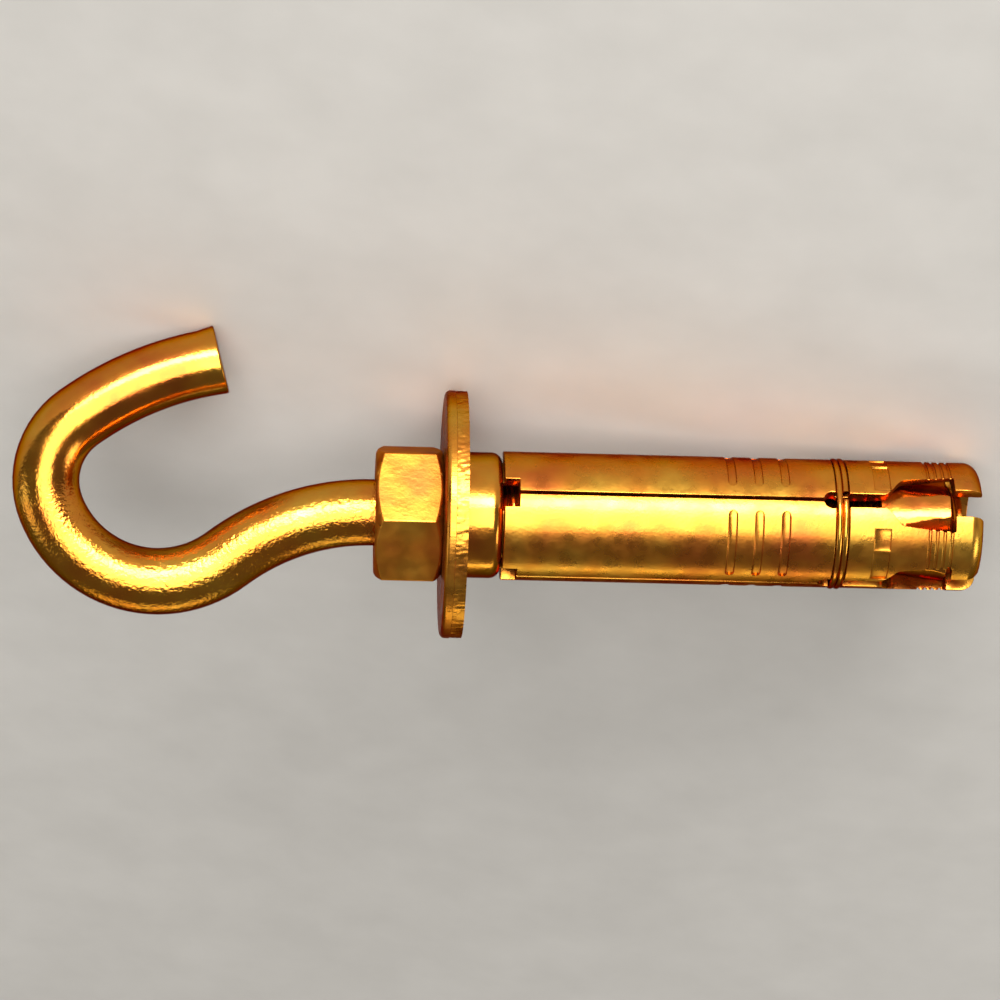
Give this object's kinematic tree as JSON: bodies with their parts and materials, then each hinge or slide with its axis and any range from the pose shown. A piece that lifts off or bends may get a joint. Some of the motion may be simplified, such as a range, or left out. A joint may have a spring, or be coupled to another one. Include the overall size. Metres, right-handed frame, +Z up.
{
  "type": "hook shield anchor",
  "caption": "Open hook bolt with nut, wide washer and collar on a leafed expansion shield, whose taper nut spreads the leaves in a drilled hole.",
  "frame": {"origin": "point on the bolt axis at the washer's bearing face", "axes": "+X from the hook to the nose, seen from above; +Z up from the table on which the anchor lies, on washer rim, nose and hook tip; +Y towards the hook's tip"},
  "size_m": [0.1443, 0.037, 0.0379],
  "materials": {
    "bolt_steel": "yellow passivated zinc",
    "nut_steel": "yellow passivated zinc",
    "washer_steel": "yellow passivated zinc",
    "collar_steel": "yellow passivated zinc",
    "leaf_steel": "yellow passivated zinc",
    "spring_wire": "yellow passivated zinc",
    "taper_steel": "yellow passivated zinc"
  },
  "bodies": {
    "collar": {"collar": "collar_steel", "washer": "washer_steel", "retaining_ring": "spring_wire"},
    "nut": {"hex_nut": "nut_steel"},
    "bolt": {"hook_bolt": "bolt_steel", "taper_nut": "taper_steel"},
    "leaf_1": {"shield_leaf_1": "leaf_steel"},
    "leaf_2": {"shield_leaf_2": "leaf_steel"},
    "leaf_3": {"shield_leaf_3": "leaf_steel"},
    "leaf_4": {"shield_leaf_4": "leaf_steel"}
  },
  "joints": [
    {"name": "nut_turn", "type": "hinge", "parent": "collar", "child": "nut", "pos_m": [-0.00323, 0, 0.00038], "axis": [0.993, 0, -0.1182], "range_deg": [0, 1440]},
    {"name": "bolt_draw", "type": "slide", "parent": "collar", "child": "bolt", "axis": [-0.993, 0, 0.1182], "range_m": [0, 0.0076]},
    {"name": "leaf_1_swing", "type": "hinge", "parent": "collar", "child": "leaf_1", "pos_m": [0.00657, 0.00516, 0.00737], "axis": [0.0635, -0.8436, 0.5332], "range_deg": [0, 1.08]},
    {"name": "leaf_2_swing", "type": "hinge", "parent": "collar", "child": "leaf_2", "pos_m": [0.005, 0.0081, -0.00579], "axis": [0.0997, 0.537, 0.8377], "range_deg": [0, 1.08]},
    {"name": "leaf_3_swing", "type": "hinge", "parent": "collar", "child": "leaf_3", "pos_m": [0.00465, -0.00516, -0.00871], "axis": [-0.0635, 0.8436, -0.5332], "range_deg": [0, 1.08]},
    {"name": "leaf_4_swing", "type": "hinge", "parent": "collar", "child": "leaf_4", "pos_m": [0.00622, -0.0081, 0.00445], "axis": [-0.0997, -0.537, -0.8377], "range_deg": [0, 1.08]}
  ],
  "couplings": [
    {"joint": "bolt_draw", "follows": "nut_turn", "m_per_rad": 0.0002785},
    {"joint": "leaf_1_swing", "follows": "nut_turn", "ratio": 0.00071},
    {"joint": "leaf_2_swing", "follows": "nut_turn", "ratio": 0.00071},
    {"joint": "leaf_3_swing", "follows": "nut_turn", "ratio": 0.00071},
    {"joint": "leaf_4_swing", "follows": "nut_turn", "ratio": 0.00071}
  ]
}
